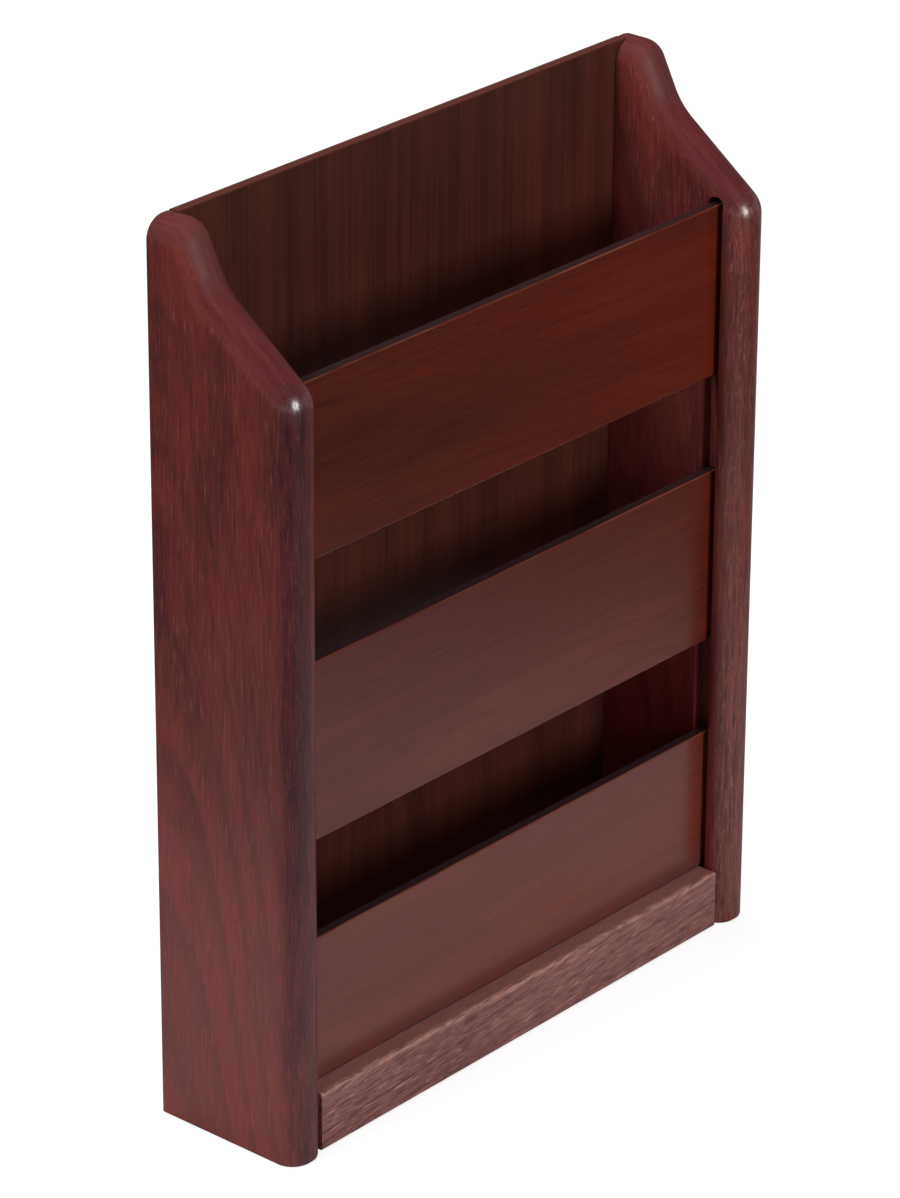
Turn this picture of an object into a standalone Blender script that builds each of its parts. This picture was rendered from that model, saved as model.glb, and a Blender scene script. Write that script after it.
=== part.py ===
"""Wall mounted magazine rack of stained wood: two shaped sides, three slats, a back and a shelf.

Metres, +Z up. The rack hangs with its back on the wall plane Y = 0 and faces -Y.
The origin is the middle of the back's rear face.
"""
import math

import bmesh
import bpy
from mathutils import Matrix, Vector

# Overall size
rack_width = 0.305
rack_height = 0.404
rack_depth = 0.0755

# Side panels, whose outline runs from the wall over a shoulder and a waist to the front
side_thickness = 0.0206
roundover = 0.0095
shoulder_depth = 0.017
waist_depth = 0.030
waist_drop = 0.0256
brow_drop = 0.059
shoulder_radius = 0.011
waist_radius = 0.030
brow_radius = 0.013

# Shelf board between the sides
shelf_height = 0.027
shelf_setback = 0.0032
eased_edge = 0.0007

# Back panel in its rabbet
back_thickness = 0.0052
rabbet_width = 0.007

# Slats in their grooves
slat_thickness = 0.0052
slat_setback = 0.0130
slat_gap = 0.0453
bottom_slat_height = 0.067
middle_slat_height = 0.081
top_slat_height = 0.0784
groove_depth = 0.006
groove_play = 0.003
groove_overrun = 0.0035

# Dowels that join the shelf to the sides
dowel_radius = 0.004
dowel_length = 0.030
dowel_in_side = 0.012
dowel_spacing = 0.036

# Brads that fix the back
brad_length = 0.019
brad_radius = 0.0006
brad_head_radius = 0.0011
brad_head_depth = 0.0006
brads_per_side = 4
brad_end_margin = 0.022
shelf_brad_spacing = 0.130

# Keyhole hanger plates let into the rear edges of the sides
hanger_width = 0.0110
hanger_height = 0.046
hanger_thickness = 0.0015
hanger_drop = 0.080
entry_radius = 0.0038
slot_width = 0.0046
slot_rise = 0.010
head_pocket_depth = 0.007
hanger_screw_spacing = 0.034
screw_head_radius = 0.0028
screw_radius = 0.0014
screw_length = 0.013

# Gap kept between pieces that touch
clearance = 0.0003

# Values that follow from the sizes above
half_width = rack_width / 2
inner_half = half_width - side_thickness
base = -rack_height / 2
top = rack_height / 2
shelf_top = base + shelf_height
slat_front = -(rack_depth - slat_setback)
slat_rear = slat_front + slat_thickness
edge_middle = half_width - (side_thickness - rabbet_width) / 2

parts = bpy.data.collections.new("magazine_rack")
cutters = bpy.data.collections.new("cutters")


def clear_scene():
    """Remove the objects that the file opened with."""
    for thing in list(bpy.data.objects):
        bpy.data.objects.remove(thing)


def wood(name, color, roughness):
    """Make a stained and lacquered wood."""
    return material(name, color, roughness, 0.0)


def material(name, color, roughness, metallic):
    """Make a Principled material."""
    made = bpy.data.materials.new(name)
    made.use_nodes = True
    shader = made.node_tree.nodes["Principled BSDF"]
    shader.inputs["Base Color"].default_value = (*color, 1.0)
    shader.inputs["Roughness"].default_value = roughness
    shader.inputs["Metallic"].default_value = metallic
    return made


def add_part(name, mesh, paint):
    """Put a mesh in the rack's collection under its own name and material."""
    piece = bpy.data.objects.new(name, mesh)
    mesh.materials.clear()
    mesh.materials.append(paint)
    parts.objects.link(piece)
    return piece


def add_cutter(name, mesh):
    """Put a mesh among the hidden cutters."""
    tool = bpy.data.objects.new(name, mesh)
    tool.hide_render = True
    tool.display_type = "WIRE"
    cutters.objects.link(tool)
    return tool


def cut(piece, tool):
    """Subtract the cutter from the piece."""
    step = piece.modifiers.new("cut_" + tool.name, "BOOLEAN")
    step.operation = "DIFFERENCE"
    step.solver = "EXACT"
    step.object = tool


def box_mesh(name, low, high):
    """Make a box between two corners."""
    shape = bmesh.new()
    bmesh.ops.create_cube(shape, size=1.0)
    size = Vector(high) - Vector(low)
    bmesh.ops.scale(shape, vec=size, verts=shape.verts)
    bmesh.ops.translate(shape, vec=(Vector(low) + Vector(high)) / 2, verts=shape.verts)
    mesh = bpy.data.meshes.new(name)
    shape.to_mesh(mesh)
    shape.free()
    return mesh


def filleted(corners, steps=5):
    """Turn (x, y, radius) corners into outline points, each rounded corner as an arc."""
    points = []
    count = len(corners)
    for index, (x, y, radius) in enumerate(corners):
        here = Vector((x, y))
        if radius == 0:
            points.append(here)
            continue
        before = Vector(corners[index - 1][:2])
        after = Vector(corners[(index + 1) % count][:2])
        back = (before - here).normalized()
        ahead = (after - here).normalized()
        half_angle = back.angle(ahead) / 2
        centre = here + (back + ahead).normalized() * (radius / math.sin(half_angle))
        start = here + back * (radius / math.tan(half_angle)) - centre
        end = here + ahead * (radius / math.tan(half_angle)) - centre
        sweep = start.angle_signed(end)
        for step in range(steps + 1):
            turned = start.copy()
            turned.rotate(Matrix.Rotation(-sweep * step / steps, 2))
            points.append(centre + turned)
    return points


def outline_mesh(name, corners, thickness, place, steps=5):
    """Make a flat solid from a filleted outline, centred on its plane, then move it to its place."""
    curve = bpy.data.curves.new(name, "CURVE")
    curve.dimensions = "2D"
    curve.fill_mode = "BOTH"
    curve.extrude = thickness / 2
    points = filleted(corners, steps)
    spline = curve.splines.new("POLY")
    spline.points.add(len(points) - 1)
    for spot, point in zip(spline.points, points):
        spot.co = (point.x, point.y, 0, 1)
    spline.use_cyclic_u = True
    guide = bpy.data.objects.new(name, curve)
    bpy.context.scene.collection.objects.link(guide)
    bpy.context.view_layer.update()
    seen = guide.evaluated_get(bpy.context.evaluated_depsgraph_get())
    mesh = bpy.data.meshes.new_from_object(seen)
    bpy.data.objects.remove(guide)
    shape = bmesh.new()
    shape.from_mesh(mesh)
    bmesh.ops.remove_doubles(shape, verts=shape.verts, dist=1e-6)
    bmesh.ops.dissolve_limit(shape, angle_limit=0.01, verts=shape.verts, edges=shape.edges)
    bmesh.ops.recalc_face_normals(shape, faces=shape.faces)
    bmesh.ops.transform(shape, matrix=place, verts=shape.verts)
    shape.to_mesh(mesh)
    shape.free()
    return mesh


def upright(x):
    """Stand an outline of (y, z) points across the X axis, at x."""
    return Matrix.Translation((x, 0, 0)) @ Matrix.Rotation(math.pi / 2, 4, "Z") @ Matrix.Rotation(
        math.pi / 2, 4, "X")


def facing_wall(x, y):
    """Stand an outline of (x, z) points parallel to the wall, with its origin at x and y."""
    return Matrix.Translation((x, y, 0)) @ Matrix.Rotation(math.pi / 2, 4, "X")


def turned_mesh(name, profile, place, steps=16):
    """Turn a profile of (radius, height) points, listed from the top down, about an axis."""
    mesh = bpy.data.meshes.new(name)
    path = bpy.data.objects.new(name, mesh)
    rings = [(radius, 0, height) for radius, height in profile]
    mesh.from_pydata(rings, [(i, i + 1) for i in range(len(rings) - 1)], [])
    bpy.context.scene.collection.objects.link(path)
    screw = path.modifiers.new("turn", "SCREW")
    screw.steps = steps
    screw.render_steps = steps
    screw.use_merge_vertices = True
    screw.merge_threshold = 1e-5
    screw.use_smooth_shade = False
    bpy.context.view_layer.update()
    seen = path.evaluated_get(bpy.context.evaluated_depsgraph_get())
    solid = bpy.data.meshes.new_from_object(seen)
    bpy.data.objects.remove(path)
    shape = bmesh.new()
    shape.from_mesh(solid)
    bmesh.ops.recalc_face_normals(shape, faces=shape.faces)
    bmesh.ops.transform(shape, matrix=place, verts=shape.verts)
    shape.to_mesh(solid)
    shape.free()
    return solid


def shade_round(mesh):
    """Shade a turned or rounded piece smooth, and keep its sharp edges."""
    mesh.shade_smooth()
    mesh.set_sharp_from_angle(angle=math.radians(35))


def driven(x, y, z):
    """Place a turned piece whose head faces the wall and whose point runs forwards."""
    return Matrix.Translation((x, y, z)) @ Matrix.Rotation(-math.pi / 2, 4, "X")


def side_outline():
    """List the side's corners as (y, z, radius), from the wall over the top and down the front."""
    return [
        (0, top, 0),
        (-shoulder_depth, top, shoulder_radius),
        (-waist_depth, top - waist_drop, waist_radius),
        (-rack_depth, top - brow_drop, brow_radius),
        (-rack_depth, base, 0),
        (0, base, 0),
    ]


def mark_roundover(mesh):
    """Give the edges along the top and the front, inner and outer, their bevel weight."""
    shape = bmesh.new()
    shape.from_mesh(mesh)
    weight = shape.edges.layers.float.new("bevel_weight_edge")
    for edge in shape.edges:
        first, second = (corner.co for corner in edge.verts)
        across = abs(first.x - second.x) > 1e-5
        at_wall = abs(first.y) < 1e-5 and abs(second.y) < 1e-5
        at_base = abs(first.z - base) < 1e-5 and abs(second.z - base) < 1e-5
        if not across and not at_wall and not at_base:
            edge[weight] = 1.0
    shape.to_mesh(mesh)
    shape.free()


def side_panel(name, side, paint):
    """Make one shaped side; side is -1 on the left and +1 on the right."""
    middle = side * (half_width - side_thickness / 2)
    mesh = outline_mesh(name, side_outline(), side_thickness, upright(middle))
    mark_roundover(mesh)
    panel = add_part(name, mesh, paint)
    rounding = panel.modifiers.new("roundover", "BEVEL")
    rounding.limit_method = "WEIGHT"
    rounding.width = roundover
    rounding.segments = 6
    cut(panel, slat_groove(name, side))
    cut(panel, back_rabbet(name, side))
    return panel


def slat_groove(name, side):
    """Cut the stopped groove that the slats sit in, round at its upper end as a router leaves it."""
    front = slat_front - groove_play
    rear = slat_rear + clearance
    crown = slat_level("top_slat")[1] + groove_overrun
    foot = base + shelf_height / 2
    end_radius = (rear - front) * 0.49
    corners = [(front, foot, 0), (rear, foot, 0), (rear, crown, end_radius), (front, crown, end_radius)]
    mesh = outline_mesh(name + "_groove", corners, 2 * groove_depth, upright(side * inner_half))
    return add_cutter(name + "_groove", mesh)


def back_rabbet(name, side):
    """Cut the rabbet that the back panel lies in."""
    inner = side * (inner_half - rabbet_width)
    outer = side * (inner_half + rabbet_width)
    reach = -(back_thickness + clearance)
    low = (min(inner, outer), reach, base - rabbet_width)
    high = (max(inner, outer), back_thickness, top + rabbet_width)
    return add_cutter(name + "_rabbet", box_mesh(name + "_rabbet", low, high))


def slat_level(name):
    """Give the bottom and the top of a slat."""
    bottom_top = shelf_top + bottom_slat_height
    middle_bottom = bottom_top + slat_gap
    middle_top = middle_bottom + middle_slat_height
    top_bottom = middle_top + slat_gap
    levels = {
        "bottom_slat": (shelf_top + clearance, bottom_top),
        "middle_slat": (middle_bottom, middle_top),
        "top_slat": (top_bottom, top_bottom + top_slat_height),
    }
    return levels[name]


def slat(name, paint):
    """Make a flat slat whose ends sit in the grooves of the two sides."""
    reach = inner_half + groove_depth - clearance
    low, high = slat_level(name)
    mesh = box_mesh(name, (-reach, slat_front, low), (reach, slat_rear, high))
    return add_part(name, mesh, paint)


def back_panel(paint):
    """Make the thin back, which lies in the rabbets and is flush with the sides behind and on top."""
    reach = inner_half + rabbet_width - clearance
    mesh = box_mesh("back_panel", (-reach, -back_thickness, base), (reach, 0, top))
    return add_part("back_panel", mesh, paint)


def shelf_board(paint):
    """Make the thick bottom board that the magazines stand on, with eased long edges in front."""
    reach = inner_half - clearance
    low = (-reach, -(rack_depth - shelf_setback), base)
    high = (reach, -(back_thickness + clearance), shelf_top)
    mesh = box_mesh("shelf_board", low, high)
    shape = bmesh.new()
    shape.from_mesh(mesh)
    weight = shape.edges.layers.float.new("bevel_weight_edge")
    for edge in shape.edges:
        if all(abs(corner.co.y - low[1]) < 1e-5 for corner in edge.verts):
            edge[weight] = 1.0
    shape.to_mesh(mesh)
    shape.free()
    board = add_part("shelf_board", mesh, paint)
    easing = board.modifiers.new("eased_edges", "BEVEL")
    easing.limit_method = "WEIGHT"
    easing.width = eased_edge
    easing.segments = 2
    return board


def dowel_profile(growth):
    """List the outline of a dowel with chamfered ends, grown all round for its hole."""
    radius = dowel_radius + growth
    half = dowel_length / 2 + growth
    chamfer = dowel_radius / 4
    return [(0, half), (radius - chamfer, half), (radius, half - chamfer), (radius, chamfer - half),
            (radius - chamfer, -half), (0, -half)]


def dowels(board, panels, paint):
    """Put two dowels through each end of the shelf into the side, with a hole in both."""
    shelf_middle = -(back_thickness + rack_depth - shelf_setback) / 2
    for label, side in (("left", -1), ("right", 1)):
        centre = side * (inner_half + dowel_in_side - dowel_length / 2)
        for number, step in enumerate((-0.5, 0.5), 1):
            name = "{}_dowel_{}".format(label, number)
            spot = (centre, shelf_middle + step * dowel_spacing, base + shelf_height / 2)
            place = Matrix.Translation(spot) @ Matrix.Rotation(math.pi / 2, 4, "Y")
            pin = add_part(name, turned_mesh(name, dowel_profile(0), place, 20), paint)
            shade_round(pin.data)
            hole = turned_mesh(name + "_hole", dowel_profile(clearance), place, 20)
            tool = add_cutter(name + "_hole", hole)
            cut(board, tool)
            cut(panels[label], tool)


def brad_profile(growth):
    """List the outline of a brad with a small flat head, grown all round for its hole."""
    head = brad_head_radius + growth
    shank = brad_radius + growth
    neck = -(brad_head_depth + growth)
    tip = -(brad_length + growth)
    return [(0, growth), (head, growth), (head, neck), (shank, neck), (shank, tip + 3 * shank), (0, tip)]


def brad(name, x, z, back, seat, paint):
    """Drive one brad through the back into its seat, head just under the surface."""
    place = driven(x, -clearance, z)
    pin = add_part(name, turned_mesh(name, brad_profile(0), place, 12), paint)
    shade_round(pin.data)
    tool = add_cutter(name + "_hole", turned_mesh(name + "_hole", brad_profile(clearance), place, 12))
    cut(back, tool)
    cut(seat, tool)


def brads(back, panels, board, paint):
    """Fix the back with a row of brads in each rabbet and two in the shelf."""
    rabbet_middle = inner_half + rabbet_width / 2
    span = rack_height - 2 * brad_end_margin
    for label, side in (("left", -1), ("right", 1)):
        for number in range(brads_per_side):
            level = base + brad_end_margin + span * number / (brads_per_side - 1)
            name = "{}_brad_{}".format(label, number + 1)
            brad(name, side * rabbet_middle, level, back, panels[label], paint)
    for number, step in enumerate((-0.5, 0.5), 1):
        name = "shelf_brad_{}".format(number)
        brad(name, step * shelf_brad_spacing, base + shelf_height / 2, back, board, paint)


def keyhole_outline(level):
    """List the keyhole's corners as (x, z, radius): a round entry below a narrower slot."""
    entry = entry_radius
    slot = slot_width / 2
    neck = level + math.sqrt(entry ** 2 - slot ** 2)
    rise = level + slot_rise + slot
    ring = []
    start = math.asin(slot / entry)
    turns = 14
    for step in range(turns + 1):
        angle = math.pi / 2 + start + (2 * math.pi - 2 * start) * step / turns
        ring.append((entry * math.cos(angle), level + entry * math.sin(angle), 0))
    ring[0] = (-slot, neck, 0)
    ring[-1] = (slot, neck, 0)
    return ring + [(slot, rise, slot * 0.98), (-slot, rise, slot * 0.98)]


def screw_profile(growth):
    """List the outline of a countersunk screw, grown all round for its hole."""
    head = screw_head_radius + growth
    shank = screw_radius + growth
    rim = 0.0002
    neck = -(rim + screw_head_radius - screw_radius)
    tip = -(screw_length + growth)
    return [(0, growth), (head, growth), (head, -rim), (shank, neck), (shank, tip + 2 * shank), (0, tip)]


def hanger(label, side, panel, plate_paint, screw_paint):
    """Let one keyhole plate into the rear edge of a side and fix it with two screws."""
    name = label + "_hanger_plate"
    x = side * edge_middle
    level = top - hanger_drop
    face = -clearance
    half_w = hanger_width / 2
    half_h = hanger_height / 2
    corner = hanger_width / 4
    corners = [(-half_w, level - half_h, corner), (half_w, level - half_h, corner),
               (half_w, level + half_h, corner), (-half_w, level + half_h, corner)]
    mesh = outline_mesh(name, corners, hanger_thickness, facing_wall(x, face - hanger_thickness / 2))
    plate = add_part(name, mesh, plate_paint)

    grown = [(u * (1 + clearance / half_w), level + (v - level) * (1 + clearance / half_h), corner)
             for u, v, corner in corners]
    recess_depth = hanger_thickness + 2 * clearance
    recess = outline_mesh(name + "_recess", grown, 2 * recess_depth, facing_wall(x, 0))
    cut(panel, add_cutter(name + "_recess", recess))

    pocket_half = entry_radius + clearance
    low = (x - pocket_half, -(recess_depth + head_pocket_depth), level - slot_rise / 2 - pocket_half)
    high = (x + pocket_half, -hanger_thickness, level + slot_rise / 2 + pocket_half)
    cut(panel, add_cutter(name + "_pocket", box_mesh(name + "_pocket", low, high)))

    entry_level = level - slot_rise / 2
    hole = outline_mesh(name + "_keyhole", keyhole_outline(entry_level), 4 * hanger_thickness,
                        facing_wall(x, face), 6)
    cut(plate, add_cutter(name + "_keyhole", hole))

    for number, step in enumerate((-0.5, 0.5), 1):
        spot = driven(x, face - clearance / 2, level + step * hanger_screw_spacing)
        screw_name = "{}_hanger_screw_{}".format(label, number)
        screw = add_part(screw_name, turned_mesh(screw_name, screw_profile(0), spot), screw_paint)
        shade_round(screw.data)
        tool = add_cutter(screw_name + "_hole",
                          turned_mesh(screw_name + "_hole", screw_profile(clearance), spot))
        cut(plate, tool)
        cut(panel, tool)


def build():
    """Make every piece of the rack."""
    clear_scene()
    bpy.context.scene.collection.children.link(parts)
    bpy.context.scene.collection.children.link(cutters)

    oak = (0.110, 0.036, 0.029)
    panels = {
        "left": side_panel("left_side_panel", -1, wood("left_side_oak", oak, 0.42)),
        "right": side_panel("right_side_panel", 1, wood("right_side_oak", oak, 0.42)),
    }
    board = shelf_board(wood("shelf_oak", (0.165, 0.080, 0.072), 0.45))
    back = back_panel(wood("back_plywood", (0.075, 0.030, 0.022), 0.40))
    veneers = {
        "top_slat": (0.125, 0.026, 0.014),
        "middle_slat": (0.105, 0.036, 0.031),
        "bottom_slat": (0.118, 0.048, 0.040),
    }
    for name, color in veneers.items():
        slat(name, wood(name + "_veneer", color, 0.30))
    dowels(board, panels, wood("dowel_beech", (0.52, 0.36, 0.20), 0.60))
    brads(back, panels, board, material("brad_steel", (0.42, 0.42, 0.43), 0.35, 1.0))
    plated = material("hanger_steel", (0.60, 0.58, 0.52), 0.30, 1.0)
    screw_steel = material("screw_steel", (0.55, 0.53, 0.48), 0.32, 1.0)
    for label, side in (("left", -1), ("right", 1)):
        hanger(label, side, panels[label], plated, screw_steel)


build()
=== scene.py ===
import math
import bmesh
import bpy
import numpy as np
from mathutils import Matrix, Vector


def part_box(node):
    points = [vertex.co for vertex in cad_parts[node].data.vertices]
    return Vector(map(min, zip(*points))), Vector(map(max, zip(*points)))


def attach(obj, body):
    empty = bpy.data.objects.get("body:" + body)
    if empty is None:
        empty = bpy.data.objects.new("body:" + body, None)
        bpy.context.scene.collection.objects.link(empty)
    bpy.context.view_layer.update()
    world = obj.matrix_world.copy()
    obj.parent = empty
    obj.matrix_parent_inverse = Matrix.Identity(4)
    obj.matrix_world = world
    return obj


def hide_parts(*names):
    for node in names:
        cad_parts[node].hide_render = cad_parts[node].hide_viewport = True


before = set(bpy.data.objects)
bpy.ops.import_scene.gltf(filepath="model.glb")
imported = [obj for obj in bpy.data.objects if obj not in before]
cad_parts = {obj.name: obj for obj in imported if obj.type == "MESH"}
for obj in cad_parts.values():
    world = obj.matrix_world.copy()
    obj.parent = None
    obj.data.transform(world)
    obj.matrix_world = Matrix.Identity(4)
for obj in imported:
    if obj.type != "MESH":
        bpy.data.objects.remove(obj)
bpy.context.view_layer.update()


# Side panels
# Two solid boards of open-grain oak, sawn to a shoulder, a waist and a brow, and rounded over on both
# arrises along the top and the front. A router ploughs the stopped groove for the slats and the rabbet
# for the back, and the boards are stained to mahogany and lacquered satin.

panel_low, panel_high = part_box("right_side_panel")
top_slat_low, top_slat_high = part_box("top_slat")
half_width, top, base = panel_high.x, panel_high.z, panel_low.z
depth = -panel_low.y
inner_face = panel_low.x
thickness = half_width - inner_face
roundover = 0.0095
shoulder_depth, shoulder_radius = 0.0170, 0.011
waist_depth, waist_drop, waist_radius = 0.0300, 0.0256, 0.030
brow_drop, brow_radius = 0.059, 0.013
side_corners = [(-shoulder_depth, top, shoulder_radius), (-waist_depth, top - waist_drop, waist_radius),
                (-depth, top - brow_drop, brow_radius)]
side_easing = 0.0009
clearance = 0.0003
slat_front, slat_rear, slat_top = top_slat_low.y, top_slat_high.y, top_slat_high.z
groove_depth, groove_play, groove_radius = 0.006, 0.003, 0.0040
groove_foot, groove_overrun = 0.0135, 0.0035
back_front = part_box("back_panel")[0].y
rabbet_width, rabbet_radius = 0.007, 0.0001
overcut = 0.01
recess_depth, recess_radius = 0.0021, 0.003
pocket_half_width, pocket_half_height, pocket_radius = 0.0041, 0.0091, 0.0012
pocket_floor, pocket_mouth = -0.0091, -0.0015
oak_mid = (0.242, 0.041, 0.034)
oak_dark = (0.095, 0.020, 0.023)
oak_light = (0.300, 0.095, 0.078)
oak_pore = (0.050, 0.012, 0.014)
oak_end = (0.080, 0.012, 0.015)
oak_sap = (0.126, 0.026, 0.031)
oak_painted_shade = (0.050, 0.012, 0.019)
oak_wear_and_sheen = (0.560, 0.270, 0.230)
oak_foot = (0.360, 0.028, 0.024)
sides = {
    "left": dict(side=-1, front_tone=(0.200, 0.040, 0.036), front_share=0.5, painted_shade_width=0.0165),
    "right": dict(side=1, front_tone=(0.290, 0.080, 0.064), front_share=0.9, painted_shade_width=0.0085),
}


def tangent_path(start, corners, end, steps):
    """Points and outward normals of straight runs joined by tangent arcs, in the Y-Z plane.

    An arc's point is its centre plus the signed radius times the normal, and the normal turns evenly
    from one run's to the next one's. The sign is positive where the outline bulges.
    """
    stops = np.array([start, *(corner[:2] for corner in corners), end], float)
    run = np.diff(stops, axis=0)
    run /= np.linalg.norm(run, axis=1)[:, None]
    heading = np.arctan2(run[:, 1], run[:, 0])
    points, normals = [stops[:1]], [[[run[0, 1], -run[0, 0]]]]
    for place, (_, _, radius) in enumerate(corners):
        turn = (heading[place + 1] - heading[place] + math.pi) % (2 * math.pi) - math.pi
        bulge = math.copysign(radius, turn)
        angle = heading[place] - math.pi / 2 + turn * np.linspace(0, 1, steps)
        normal = np.stack([np.cos(angle), np.sin(angle)], axis=1)
        onset = stops[place + 1] - run[place] * radius * math.tan(abs(turn) / 2)
        points.append(onset - bulge * normal[0] + bulge * normal)
        normals.append(normal)
    points.append(stops[-1:])
    normals.append([[run[-1, 1], -run[-1, 0]]])
    return np.concatenate(points), np.concatenate(normals)


def grid_faces(rows, columns):
    """Quads between neighbouring rows and columns of a grid whose points are numbered row by row."""
    first = (np.arange(rows - 1)[:, None] * columns + np.arange(columns - 1)).ravel()
    return np.stack([first, first + 1, first + columns + 1, first + columns], axis=1).tolist()


def new_piece(name, points, faces, body="root"):
    """Put a closed mesh in the scene, faces outwards, riding on a body if one is named."""
    mesh = bpy.data.meshes.new(name)
    mesh.from_pydata(np.reshape(points, (-1, 3)), [], faces)
    shape = bmesh.new()
    shape.from_mesh(mesh)
    bmesh.ops.recalc_face_normals(shape, faces=shape.faces)
    shape.to_mesh(mesh)
    shape.free()
    mesh.shade_smooth()
    piece = bpy.data.objects.new(name, mesh)
    bpy.context.scene.collection.objects.link(piece)
    if body:
        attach(piece, body)
    return piece


def bullnose_board(name, side):
    """Carry the rounded section along the outline, and close it with flat faces.

    A section point lies at a distance across the board and an inset from the outline: on each arris
    both follow a quarter circle, distance r - r cos a and inset r - r sin a. A narrow lip of the flat
    face follows on each side.
    """
    corner_steps, arris_steps, lip = 15, 19, 0.0004
    path, normal = tangent_path((0, top), side_corners, (-depth, base), corner_steps)
    angle = np.linspace(0, math.pi / 2, arris_steps)
    across = roundover * (1 - np.cos(angle))
    inset = roundover * (1 - np.sin(angle))
    across = np.concatenate([[0], across, thickness - across[::-1], [thickness]])
    inset = np.concatenate([[roundover + lip], inset, inset[::-1], [roundover + lip]])
    rows, columns = len(path), len(across)
    grid = np.empty((rows, columns, 3))
    grid[:, :, 0] = side * (inner_face + across)
    grid[:, :, 1:] = path[:, None] - normal[:, None] * inset[None, :, None]
    feet = [(side * inner_face, 0, base), (side * half_width, 0, base)]
    inner_foot, outer_foot = rows * columns, rows * columns + 1
    first = np.arange(rows) * columns
    faces = grid_faces(rows, columns)
    faces.append([*first.tolist(), inner_foot])
    faces.append([*(first + columns - 1).tolist(), outer_foot])
    faces.append([*range(columns), outer_foot, inner_foot])
    faces.append([*range(first[-1], first[-1] + columns), outer_foot, inner_foot])
    return new_piece(name, np.concatenate([grid.reshape(-1, 3), feet]), faces)


def prism(name, outline, axis, low, high, body=None):
    """A closed outline in the two other axes, carried straight along one axis and closed at both ends.

    Without a body it is a cutter.
    """
    outline = np.asarray(outline, float)
    ends = [np.insert(outline, axis, level, axis=1) for level in (low, high)]
    count = len(outline)
    ring = np.arange(count)
    walls = np.stack([ring, np.roll(ring, -1), np.roll(ring, -1) + count, ring + count], axis=1)
    faces = [*walls.tolist(), ring.tolist(), (ring + count).tolist()]
    return new_piece(name, np.concatenate(ends), faces, body)


def rounded_box(low, high, radius, steps=7):
    """A rectangle's outline, each corner a quarter circle: its centre plus r cos a and r sin a."""
    angle = np.linspace(0, math.pi / 2, steps)[None] + np.arange(4)[:, None] * math.pi / 2
    low, high = np.array(low, float), np.array(high, float)
    centre = np.array([[high[0] - radius, high[1] - radius], [low[0] + radius, high[1] - radius],
                       [low[0] + radius, low[1] + radius], [high[0] - radius, low[1] + radius]])
    arc = np.stack([np.cos(angle), np.sin(angle)], axis=2) * radius
    return (centre[:, None] + arc).reshape(-1, 2)


def finish_shape(piece, cutters=(), easing=0.0):
    """Ease the square arrises, cut the joints, and keep both in the mesh with even shading."""
    if easing:
        bevel = piece.modifiers.new("easing", "BEVEL")
        bevel.width = easing
        bevel.segments = 3
        bevel.limit_method = "ANGLE"
        bevel.angle_limit = math.radians(55)
    for cutter in cutters:
        step = piece.modifiers.new("joint", "BOOLEAN")
        step.solver = "EXACT"
        step.object = cutter
    bpy.context.view_layer.update()
    seen = piece.evaluated_get(bpy.context.evaluated_depsgraph_get())
    mesh = bpy.data.meshes.new_from_object(seen)
    piece.modifiers.clear()
    piece.data = mesh
    for cutter in cutters:
        bpy.data.objects.remove(cutter)
    mesh.set_sharp_from_angle(angle=math.radians(38))
    weighted = piece.modifiers.new("even_shading", "WEIGHTED_NORMAL")
    weighted.keep_sharp = True


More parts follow.
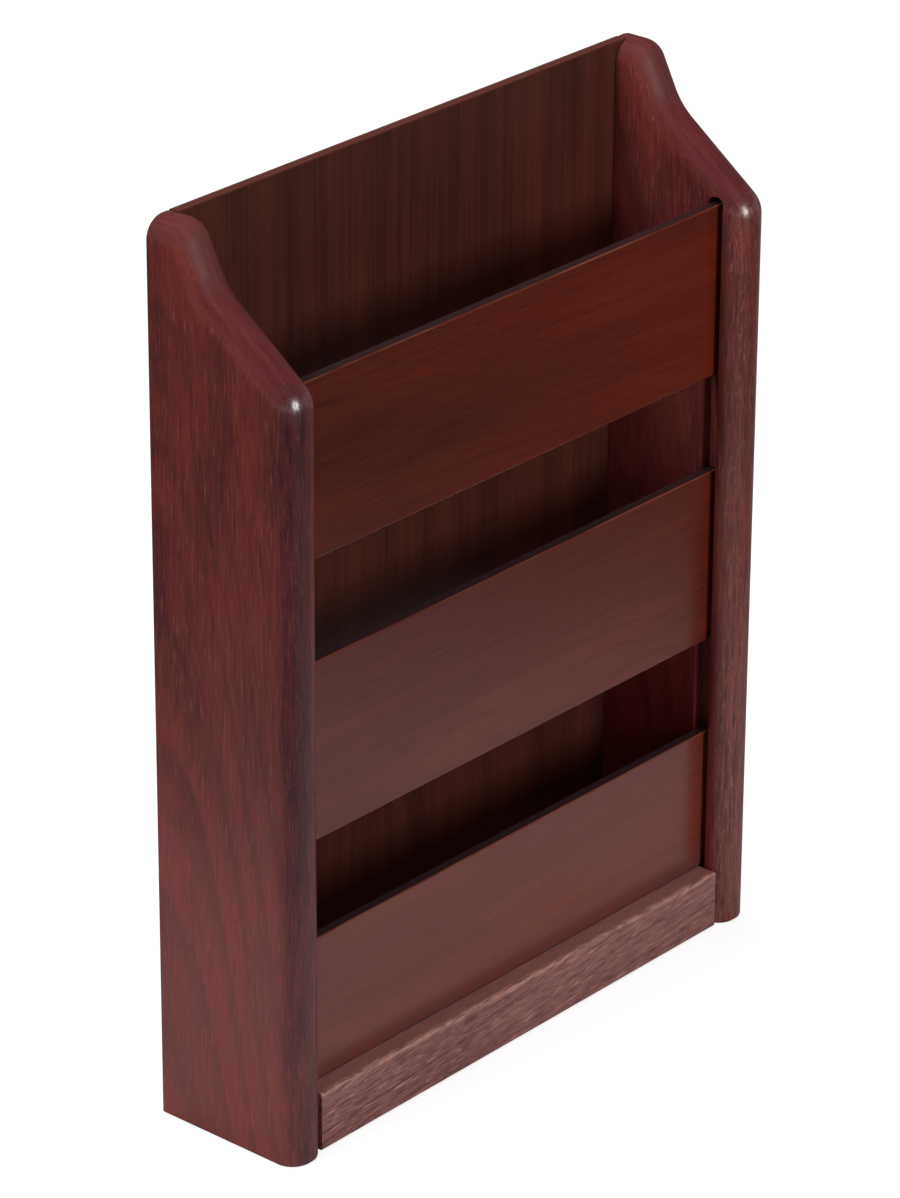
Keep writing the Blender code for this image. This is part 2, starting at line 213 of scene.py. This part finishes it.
class Field:
    """A shader socket that takes part in Python arithmetic: each operator adds its Math node."""

    def __init__(self, tree, socket=None):
        self.tree = tree
        self.socket = socket

    def node(self, kind, settings=None, values=None, output=0):
        """Add a node of any kind: its settings come first, then its sockets' values or links."""
        made = self.tree.nodes.new(kind)
        for key, value in (settings or {}).items():
            setattr(made, key, value)
        for key, value in (values or {}).items():
            if isinstance(value, Field):
                self.tree.links.new(value.socket, made.inputs[key])
            else:
                made.inputs[key].default_value = value
        return Field(self.tree, made.outputs[output])

    def math(self, operation, *others):
        """A Math node of the given fields or numbers."""
        return self.node("ShaderNodeMath", {"operation": operation}, dict(enumerate(others)))

    def __add__(self, other):
        return self.math("ADD", self, other)

    def __radd__(self, other):
        return self.math("ADD", other, self)

    def __sub__(self, other):
        return self.math("SUBTRACT", self, other)

    def __rsub__(self, other):
        return self.math("SUBTRACT", other, self)

    def __mul__(self, other):
        return self.math("MULTIPLY", self, other)

    def __rmul__(self, other):
        return self.math("MULTIPLY", other, self)

    def __truediv__(self, other):
        return self.math("DIVIDE", self, other)

    def __rtruediv__(self, other):
        return self.math("DIVIDE", other, self)

    def vector(self, operation, *others, output=0):
        """Vector Math of this field and more fields or values."""
        values = dict(enumerate((self, *others)))
        return self.node("ShaderNodeVectorMath", {"operation": operation}, values, output)

    def part(self, axis):
        """One coordinate of a position: 0 across, 1 in depth, 2 in height."""
        return self.node("ShaderNodeSeparateXYZ", {}, {0: self}, output=axis)

    def stretch(self, x, y, z, offset=(0, 0, 0)):
        """Scale a position along the three axes, then shift it."""
        return self.vector("MULTIPLY", (x, y, z)).vector("ADD", offset)

    def size(self):
        """The number without its sign."""
        return self.math("ABSOLUTE", self)

    def limit(self):
        """The number, or 1 where it is more."""
        return self.math("MINIMUM", self, 1.0)

    def cycle(self):
        """The number's fraction, which climbs from 0 to 1 again and again."""
        return self.math("FRACT", self)

    def noise(self, detail=2.0, rough=0.5):
        """Smooth noise at a position that is already scaled."""
        return self.node("ShaderNodeTexNoise", {},
                         {"Vector": self, "Scale": 1.0, "Detail": detail, "Roughness": rough})

    def between(self, low, high):
        """0 below low, 1 above high, smooth between them."""
        return self.node("ShaderNodeMapRange", {"interpolation_type": "SMOOTHSTEP"},
                         {"Value": self, "From Min": low, "From Max": high})

    def blend(self, first, second):
        """Mix two colours, with this field as the share of the second."""
        return self.node("ShaderNodeMix", {"data_type": "RGBA"},
                         {0: self, 6: colour(first), 7: colour(second)}, output=2)

    def relief(self, strength, distance):
        """A bumped normal, with this field as the height."""
        return self.node("ShaderNodeBump", {},
                         {"Strength": strength, "Distance": distance, "Height": self})


def colour(value):
    """A colour as its socket wants it, or a field as it is."""
    return value if isinstance(value, Field) else (*value, 1.0)


def finish_material(name, **constants):
    """A Principled material: returns it, its shader, and the position on the piece as a field."""
    made = bpy.data.materials.new(name)
    made.use_nodes = True
    shader = made.node_tree.nodes["Principled BSDF"]
    for key, value in constants.items():
        shader.inputs[key.replace("_", " ")].default_value = value
    place = Field(made.node_tree).node("ShaderNodeTexCoord", output="Object")
    return made, shader, place


def feed(shader, **fields):
    """Link fields to the shader's sockets."""
    for key, field in fields.items():
        field.tree.links.new(field.socket, shader.inputs[key.replace("_", " ")])


def oak_grain(place, heart, taper, ring_width):
    """Pores, flecks, streaks, patches, year rings and fine grain of a board whose grain runs along Z.

    A ring lies where the distance from the heart of the tree, plus the height times a small taper, has
    one value. Streaks follow the rings, and the rest is noise drawn out along the grain.
    """
    wander = place.stretch(13, 13, 3.5).noise(2.0)
    from_heart = place.stretch(1, 1, 0, (-heart[0], -heart[1], 0)).vector("LENGTH", output=1)
    radius = from_heart + place.part(2) * taper + wander * (ring_width * 1.2)
    wave = (radius / ring_width).cycle()
    rings = wave.between(0.45, 0.90) * (1 - wave.between(0.92, 1.0))
    along = radius.node("ShaderNodeCombineXYZ", {}, {0: radius, 2: place.part(2)})
    streaks = along.stretch(560, 1, 9).noise(3.0, 0.65)
    fine = place.stretch(1000, 1000, 48, (8, 2, 5)).noise(3.0, 0.7)
    rings = rings * (fine.between(0.30, 0.60) * 0.6 + 0.4)
    clusters = place.stretch(60, 60, 22, (1, 6, 3)).noise(2.0).between(0.35, 0.62)
    pores = place.stretch(1150, 1150, 62, (3, 1, 7)).noise(2.5, 0.65).between(0.53, 0.68) * clusters
    flecks = place.stretch(900, 900, 95, (11, 5, 2)).noise(1.5, 0.6).between(0.58, 0.74)
    patches = place.stretch(34, 34, 10, (5, 5, 1)).noise(2.0)
    return pores, flecks, streaks, patches, rings, fine


def side_oak(name, side, front_tone, front_share, painted_shade_width):
    """Oak with its rings as arches on the lower half, darker on the end grain, with painted shade on the
    outer arris.

    The front is paler, by a share that grows low down as painted light, and rubbed in flecks; a faint
    painted sheen lies on the top arris. The lacquer is thick on the brow and thin and dull on the
    shoulder.
    """
    made, shader, place = finish_material(name, Specular_IOR_Level=0.45, Coat_Roughness=0.29,
                                          Coat_IOR=2.2)
    height = place.part(2)
    outward, forward = place.part(0) * side, place.part(1) * -1.0
    grain = oak_grain(place, heart=(side * 0.0705, 0.0), taper=0.10, ring_width=0.0070)
    pores, flecks, streaks, patches, rings, fine = grain
    low = 1 - height.between(-0.10, 0.02)
    dark = (rings * (low * 0.90 + 0.08) + (1 - streaks.between(0.32, 0.62)) * 0.30
            + (1 - fine.between(0.40, 0.58)) * 0.42 + (1 - patches.between(0.36, 0.60)) * 0.42)
    tone = dark.limit().blend(oak_mid, oak_dark)
    front = forward.between(depth - roundover, depth - 0.0030)
    # Painted light: the paler front tone takes a larger share low down, where more light falls on the
    # front.
    share = front * front_share * (1 - height.between(-0.02, 0.12) * 0.80)
    tone = (share * (fine.between(0.40, 0.60) * 0.80 + 0.15)).blend(tone, front_tone)
    # Painted shade: the outer part of the front bullnose is darkened, more so up high, as it turns from
    # the light.
    arris = front * outward.between(half_width - painted_shade_width, half_width - painted_shade_width + 0.0085)
    tone = (arris * (height.between(-0.17, -0.02) * 0.45 + 0.42)
            * (1.2 - fine.between(0.30, 0.62) * 0.6)).blend(tone, oak_painted_shade)
    ends = place.node("ShaderNodeTexCoord", output="Normal").part(2).between(0.10, 0.50)
    layers = place.stretch(420, 24, 24, (4, 4, 4)).noise(5.0, 0.80).between(0.40, 0.60)
    tone = (ends * 0.72).blend(tone, layers.blend(oak_end, oak_sap))
    tone = (pores * (1 - ends) * 0.70).blend(tone, oak_pore)
    tone = (flecks * (1 - ends) * (1 - arris) * (0.30 + streaks * 0.5)).blend(tone, oak_light)
    rubbed = place.stretch(1500, 1500, 170, (2, 9, 4)).noise(2.0, 0.6).between(0.55, 0.70)
    tone = (rubbed * front * (front_share ** 2 * 0.45)).blend(tone, oak_wear_and_sheen)
    tone = (low * (1 - front) * 0.30).blend(tone, oak_foot)
    # Painted sheen: a faint pale tone on the end grain of the top arris.
    tone = (ends * height.between(top - 0.030, top - 0.006) * 0.04).blend(tone, oak_wear_and_sheen)
    shoulder = height.between(top - 0.045, top - 0.030)
    brow = height.between(top - 0.072, top - 0.062) * (1 - shoulder)
    rough = 0.34 + pores * 0.18 + streaks * 0.10 + ends * shoulder * 0.24
    coat = (0.17 - shoulder * 0.14
            + front * (brow * (fine.between(0.42, 0.56) * 0.60 + 0.30) - 0.09))
    feed(shader, Base_Color=tone, Roughness=rough, Coat_Weight=coat,
         Normal=(streaks * 0.4 - pores).relief(0.2, 0.0003))
    return made


for label, finish in sides.items():
    side = finish["side"]
    panel = bullnose_board(label + "_side", side)
    groove_walls = sorted((side * (inner_face - groove_depth), side * (inner_face + groove_depth)))
    groove = prism("groove", rounded_box((slat_front - groove_play, base + groove_foot),
                                         (slat_rear + clearance, slat_top + groove_overrun),
                                         groove_radius), 0, *groove_walls)
    rabbet_walls = sorted((side * (inner_face - rabbet_width), side * (inner_face + rabbet_width)))
    rabbet = prism("rabbet", rounded_box((back_front - clearance, base - overcut),
                                         (overcut, top + overcut), rabbet_radius, steps=2),
                   0, *rabbet_walls)
    plate_low, plate_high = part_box(label + "_hanger_plate")
    recess = prism("recess", rounded_box((plate_low.x - clearance, plate_low.z - clearance),
                                         (plate_high.x + clearance, plate_high.z + clearance),
                                         recess_radius), 1, -recess_depth, recess_depth)
    middle = (plate_low + plate_high) / 2
    pocket = prism("pocket", rounded_box((middle.x - pocket_half_width, middle.z - pocket_half_height),
                                         (middle.x + pocket_half_width, middle.z + pocket_half_height),
                                         pocket_radius), 1, pocket_floor, pocket_mouth)
    finish_shape(panel, (groove, rabbet, recess, pocket), side_easing)
    panel.data.materials.clear()
    panel.data.materials.append(side_oak(label + "_side_oak", **finish))
    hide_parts(label + "_side_panel")


# Shelf board
# A thick oak board between the sides, the floor of the rack's pocket. It is doweled to the sides, its
# long arrises are eased with sandpaper, and its stain is rubbed thin on the front one, under a painted
# highlight.

shelf_low, shelf_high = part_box("shelf_board")
shelf_easing = 0.0009
shelf_mid = (0.470, 0.192, 0.174)
shelf_dark = (0.140, 0.040, 0.042)
shelf_fleck_and_highlight = (0.680, 0.340, 0.280)
shelf_top_painted_shade = (0.280, 0.122, 0.108)


def shelf_oak(name):
    """Oak whose grain runs along X and rises a little to the right, pale on its front arris from wear
    and a painted highlight.
    """
    made, shader, place = finish_material(name, Specular_IOR_Level=0.60)
    turned = place.node("ShaderNodeMapping", {},
                        {"Vector": place, "Rotation": (0.0, math.pi / 2 + 0.09, 0.0)})
    grain = oak_grain(turned, heart=(0.24, 0.03), taper=0.02, ring_width=0.0040)
    pores, flecks, streaks, patches, rings, _ = grain
    specks = turned.stretch(950, 950, 120, (6, 6, 3)).noise(3.0, 0.7)
    dark = (rings * 0.25 + (1 - streaks.between(0.36, 0.56)) * 0.22
            + (1 - specks.between(0.36, 0.62)) * 0.56 + (1 - patches.between(0.35, 0.60)) * 0.15
            + (1 - place.part(0).between(-0.14, 0.06)) * 0.16)
    tone = dark.limit().blend(shelf_mid, shelf_dark)
    tone = (pores * 0.7).blend(tone, shelf_dark)
    tone = flecks.blend(tone, shelf_fleck_and_highlight)
    # Painted shade: the faces behind the front, the top among them, are darker than the lit front.
    inward = place.part(1).between(shelf_low.y + 0.0012, shelf_low.y + 0.0030)
    tone = (inward * 0.75).blend(tone, shelf_top_painted_shade)
    # The pale band along the front-top arris is worn stain and a painted highlight.
    worn = (place.part(2).between(shelf_high.z - 0.0026, shelf_high.z - 0.0004) * (1 - inward)
            * (specks.between(0.42, 0.58) * 0.6 + 0.2))
    tone = worn.blend(tone, shelf_fleck_and_highlight)
    feed(shader, Base_Color=tone, Roughness=0.36 + pores * 0.15,
         Normal=(streaks * 0.4 - pores).relief(0.2, 0.0003))
    return made


shelf_section = rounded_box((shelf_low.y, shelf_low.z), (shelf_high.y, shelf_high.z), shelf_easing)
shelf = prism("shelf", shelf_section, 0, shelf_low.x, shelf_high.x, body="root")
finish_shape(shelf)
shelf.data.materials.append(shelf_oak("shelf_oak"))
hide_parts("shelf_board")


# Slats
# Three thin boards with mahogany veneer, whose figure runs along the rack, under a gloss lacquer. Their
# ends sit in the grooves, and a gap for the fingers stays between them.

slat_easing = 0.0007
# The three slats share one veneer; the bottom slat's paler tones are painted light, as more light and
# sheen reach it.
slat_finishes = {
    "top_slat": dict(light=(0.234, 0.031, 0.014), dark=(0.078, 0.012, 0.008),
                     left_painted_shadow=0.40, foot_painted_reflection=0.0, figure_share=0.14),
    "middle_slat": dict(light=(0.215, 0.032, 0.019), dark=(0.085, 0.016, 0.012),
                        left_painted_shadow=0.10, foot_painted_reflection=0.0, figure_share=0.24),
    "bottom_slat": dict(light=(0.262, 0.047, 0.032), dark=(0.130, 0.027, 0.021),
                        left_painted_shadow=0.10, foot_painted_reflection=0.7, figure_share=0.14),
}
slat_painted_reflection = (0.175, 0.062, 0.058)
slat_dash = (0.040, 0.012, 0.008)
slat_edge_painted_shade = (0.034, 0.017, 0.019)
slat_worn = (0.30, 0.11, 0.07)


def slat_veneer(name, seed, low, high, light, dark, left_painted_shadow, foot_painted_reflection, figure_share):
    """Veneer with slow dark bands, fine lines and threads, curved figure lines and short dashes along X.

    Painted shadow darkens the tone toward the left, and a painted reflection of the shelf with painted
    shade dulls it at the foot, by the shares given. The sawn top and bottom edges are painted dark as
    shade, and the front arrises are worn light.
    """
    made, shader, place = finish_material(name, Specular_IOR_Level=0.62)
    slant = 0.05 * (seed - 1)
    turned = place.node("ShaderNodeMapping", {},
                        {"Vector": place, "Rotation": (0.0, slant, 0.0), "Location": (seed, 0, 0)})
    lines = turned.stretch(9, 60, 620, (seed, 0, 0)).noise(3.0, 0.6)
    dashes = turned.stretch(90, 400, 1500, (0, seed, 0)).noise(2.0).between(0.56, 0.72)
    bands = turned.stretch(4, 10, 28, (0, 0, seed)).noise(2.0, 0.55)
    curls = (turned.stretch(7, 10, 26, (seed, 2, 0)).noise(2.0) * 4.5 + turned.part(2) * 62.0).cycle()
    figure = curls.between(0.50, 0.90) * (1 - curls.between(0.92, 0.99)) * bands.between(0.40, 0.56)
    threads = turned.stretch(34, 300, 1500, (seed, 4, 1)).noise(3.0, 0.7)
    # Painted shadow: the tone darkens toward the left, as if the left side shaded the slat.
    left_shadow_mask = 1 - place.part(0).between(-0.14, 0.10)
    shade = ((1 - bands.between(0.34, 0.64)) * 0.42 + (1 - lines.between(0.30, 0.62)) * 0.15
             + (1 - threads.between(0.36, 0.58)) * 0.20 + figure * figure_share
             + left_shadow_mask * left_painted_shadow)
    tone = shade.limit().blend(light, dark)
    tone = (dashes * 0.30).blend(tone, slat_dash)
    # Painted reflection and shade: the foot dulls to a greyer brown, as the shelf mirrored in the
    # lacquer.
    tone = ((1 - place.part(2).between(low.z, low.z + 0.018)) * foot_painted_reflection).blend(tone, slat_painted_reflection)
    sawn = place.part(1).between(slat_front + 0.0002, slat_front + 0.0009)
    half_height = (high.z - low.z) / 2
    edge = (place.part(2) - (low.z + high.z) / 2).size()
    edge = edge.between(half_height - 0.0006, half_height - 0.0001)
    # Painted shade: the top and bottom edges are darkened.
    tone = (edge * sawn).blend(tone, slat_edge_painted_shade)
    worn = edge * (1 - sawn) * lines.between(0.40, 0.60)
    tone = (worn * 0.5).blend(tone, slat_worn)
    feed(shader, Base_Color=tone, Roughness=0.22 + bands * 0.05, Normal=dashes.relief(0.05, 0.0002))
    return made


for seed, (node, finish) in enumerate(slat_finishes.items()):
    low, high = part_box(node)
    slat = prism(node + "_board", rounded_box((low.y, low.z), (high.y, high.z), slat_easing),
                 0, low.x, high.x, body="root")
    finish_shape(slat)
    slat.data.materials.append(slat_veneer(node + "_veneer", seed, low, high, **finish))
    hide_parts(node)


# Back panel
# Five-ply board 5 mm thick, let into the rabbets and nailed from behind, each brad's head in a small
# pocket. Its faces are stained like the sides, and its plies show along the top edge.

back_low, back_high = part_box("back_panel")
back_easing = 0.0004
back_light = (0.120, 0.030, 0.020)
back_dark = (0.050, 0.015, 0.012)
ply_light = (0.150, 0.036, 0.022)
ply_dark = (0.085, 0.018, 0.015)
ply_pairs = 2.5
brad_pocket_radius, brad_pocket_depth = 0.0014, 0.0010
brad_pocket_sides = 24


def back_plywood(name):
    """Stained veneer on both faces, with its figure upright, and five plies in the top edge."""
    made, shader, place = finish_material(name, Specular_IOR_Level=0.40)
    lines = place.stretch(520, 60, 8).noise(3.0, 0.6)
    bands = place.stretch(36, 8, 5, (4, 4, 4)).noise(2.0)
    dark = (1 - bands.between(0.36, 0.62)) * 0.5 + (1 - lines.between(0.30, 0.62)) * 0.4
    tone = dark.limit().blend(back_light, back_dark)
    plies = (place.part(1) * (ply_pairs / (back_high.y - back_low.y))).cycle()
    edge_tone = plies.between(0.45, 0.55).blend(ply_light, ply_dark)
    tone = place.part(2).between(top - 0.0003, top - 0.0001).blend(tone, edge_tone)
    feed(shader, Base_Color=tone, Roughness=0.32 + lines * 0.12)
    return made


back = prism("back", rounded_box((back_low.y, back_low.z), (back_high.y, back_high.z), back_easing),
             0, back_low.x, back_high.x, body="root")
turn = np.arange(brad_pocket_sides) * 2 * math.pi / brad_pocket_sides
ring = np.stack([np.cos(turn), np.sin(turn)], axis=1) * brad_pocket_radius
pockets = []
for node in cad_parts:
    if "brad" in node:
        low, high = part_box(node)
        spot = ((low.x + high.x) / 2, (low.z + high.z) / 2)
        pockets.append(prism("brad_pocket", spot + ring, 1, -brad_pocket_depth, brad_pocket_depth))
finish_shape(back, pockets)
back.data.materials.append(back_plywood("back_plywood"))
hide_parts("back_panel")


# Dowels, brads, keyhole plates and screws
# Beech dowels join the shelf to the sides, steel brads hold the back, and two zinc-plated plates with
# countersunk screws hang the rack on the wall.

def plain_finish(name, light, dark, grain, metallic, roughness):
    """A finish with fine brush or fibre marks, drawn out along the axis where grain is small."""
    made, shader, place = finish_material(name, Metallic=metallic)
    marks = place.stretch(*grain).noise(3.0, 0.6)
    tone = marks.between(0.3, 0.7).blend(light, dark)
    feed(shader, Base_Color=tone, Roughness=roughness + marks * 0.15)
    return made


plain_finishes = {
    "dowel": plain_finish("dowel_beech", (0.56, 0.40, 0.24), (0.40, 0.26, 0.14),
                          grain=(40, 900, 900), metallic=0.0, roughness=0.55),
    "brad": plain_finish("brad_steel", (0.50, 0.50, 0.51), (0.34, 0.34, 0.35),
                         grain=(900, 900, 900), metallic=1.0, roughness=0.32),
    "plate": plain_finish("hanger_steel", (0.64, 0.62, 0.56), (0.50, 0.48, 0.43),
                          grain=(1500, 900, 60), metallic=1.0, roughness=0.28),
    "screw": plain_finish("screw_steel", (0.58, 0.56, 0.50), (0.42, 0.40, 0.36),
                          grain=(900, 900, 900), metallic=1.0, roughness=0.30),
}
for node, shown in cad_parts.items():
    for kind, material in plain_finishes.items():
        if kind in node:
            shown.data.materials.clear()
            shown.data.materials.append(material)


# Floor, lamps and camera
# The floor is white to the camera. Other rays meet a dark floor with a pale strip, which runs under the
# rack and widens behind it, so that the lacquer shows a soft sheen. Four soft lamps stand in front, at
# the left, above and behind, and a long lens looks down from the front left.

floor_reach, floor_gap = 9, 0.0004
floor_corners = ((-floor_reach, -floor_reach), (floor_reach, -floor_reach),
                 (floor_reach, floor_reach), (-floor_reach, floor_reach))
strip_heading, strip_middle = 49.2, 0.04
strip_dark, strip_pale = (0.04, 0.04, 0.04), (0.52, 0.52, 0.52)
focal_pixels, height_pixels, sensor_width = 5468.58, 1198, 36
camera_place = (-1.59093, -1.40130, 0.97295)
camera_heading, camera_dip, camera_roll = -49.188, 25.004, 0.3205

floor_mesh = bpy.data.meshes.new("floor")
floor_mesh.from_pydata([(x, y, base - floor_gap) for x, y in floor_corners], [], [(0, 1, 2, 3)])
floor = bpy.data.objects.new("floor", floor_mesh)
bpy.context.scene.collection.objects.link(floor)
floor_paint = bpy.data.materials.new("floor_white")
floor_paint.use_nodes = True
paint = Field(floor_paint.node_tree)
place = paint.node("ShaderNodeTexCoord", output="Object")
turned = paint.node("ShaderNodeMapping", {},
                    {"Vector": place, "Rotation": (0, 0, math.radians(strip_heading))})
behind = turned.part(1).between(0.30, 0.60)
beside = (turned.part(0) - strip_middle).size().between(0.26, 0.60) * (1 - behind)
strip = (1 - beside) * turned.part(1).between(-0.60, -0.30)
soft_floor = paint.node("ShaderNodeBsdfDiffuse", {}, {"Color": strip.blend(strip_dark, strip_pale)})
white_floor = paint.node("ShaderNodeAddShader", {}, {
    0: paint.node("ShaderNodeBsdfDiffuse", {}, {"Color": (0.40, 0.40, 0.40, 1)}),
    1: paint.node("ShaderNodeEmission", {}, {"Strength": 0.80})})
seen = paint.node("ShaderNodeLightPath", output="Is Camera Ray")
feed(floor_paint.node_tree.nodes["Material Output"],
     Surface=paint.node("ShaderNodeMixShader", {}, {0: seen, 1: soft_floor, 2: white_floor}))
floor_mesh.materials.append(floor_paint)

world = bpy.data.worlds.new("studio")
world.use_nodes = True
bpy.context.scene.world = world
sky = Field(world.node_tree)
seen = sky.node("ShaderNodeLightPath", output="Is Camera Ray")
shiny = (sky.node("ShaderNodeLightPath", output="Is Glossy Ray")
         + sky.node("ShaderNodeLightPath", output="Is Transmission Ray"))
horizon = 1 - sky.node("ShaderNodeTexCoord", output="Generated").part(2).between(0.10, 0.40)
background = world.node_tree.nodes["Background"]
background.inputs["Color"].default_value = (1, 1, 1, 1)
feed(background, Strength=seen * 0.97 + shiny * horizon * 0.30 + 0.03)


def soft_lamp(name, place, size, watts, mirrored):
    """A square area lamp at a place, turned to the rack's middle, and seen in the lacquer or not."""
    data = bpy.data.lights.new(name, "AREA")
    data.size = size
    data.energy = watts
    lamp = bpy.data.objects.new(name, data)
    lamp.location = place
    lamp.visible_glossy = mirrored
    lamp.rotation_euler = (Vector() - Vector(place)).to_track_quat("-Z", "Y").to_euler()
    bpy.context.scene.collection.objects.link(lamp)


soft_lamp("front_lamp", (-0.10, -2.20, 0.70), size=0.84, watts=18, mirrored=True)
soft_lamp("left_lamp", (-2.20, 0.30, 1.60), size=0.6, watts=37, mirrored=False)
soft_lamp("top_lamp", (0.00, -0.10, 2.30), size=1.2, watts=28, mirrored=False)
soft_lamp("rear_lamp", (0.80, 2.20, 0.60), size=0.8, watts=16, mirrored=False)

camera_data = bpy.data.cameras.new("camera")
camera_data.sensor_width = sensor_width
camera_data.lens = focal_pixels * sensor_width / height_pixels
camera_data.clip_end = 50
camera = bpy.data.objects.new("camera", camera_data)
camera.matrix_world = (Matrix.Translation(camera_place)
                       @ Matrix.Rotation(math.radians(camera_heading), 4, "Z")
                       @ Matrix.Rotation(math.radians(90 - camera_dip), 4, "X")
                       @ Matrix.Rotation(math.radians(camera_roll), 4, "Z"))
bpy.context.scene.collection.objects.link(camera)
bpy.context.scene.camera = camera
bpy.context.scene.view_settings.view_transform = "Standard"
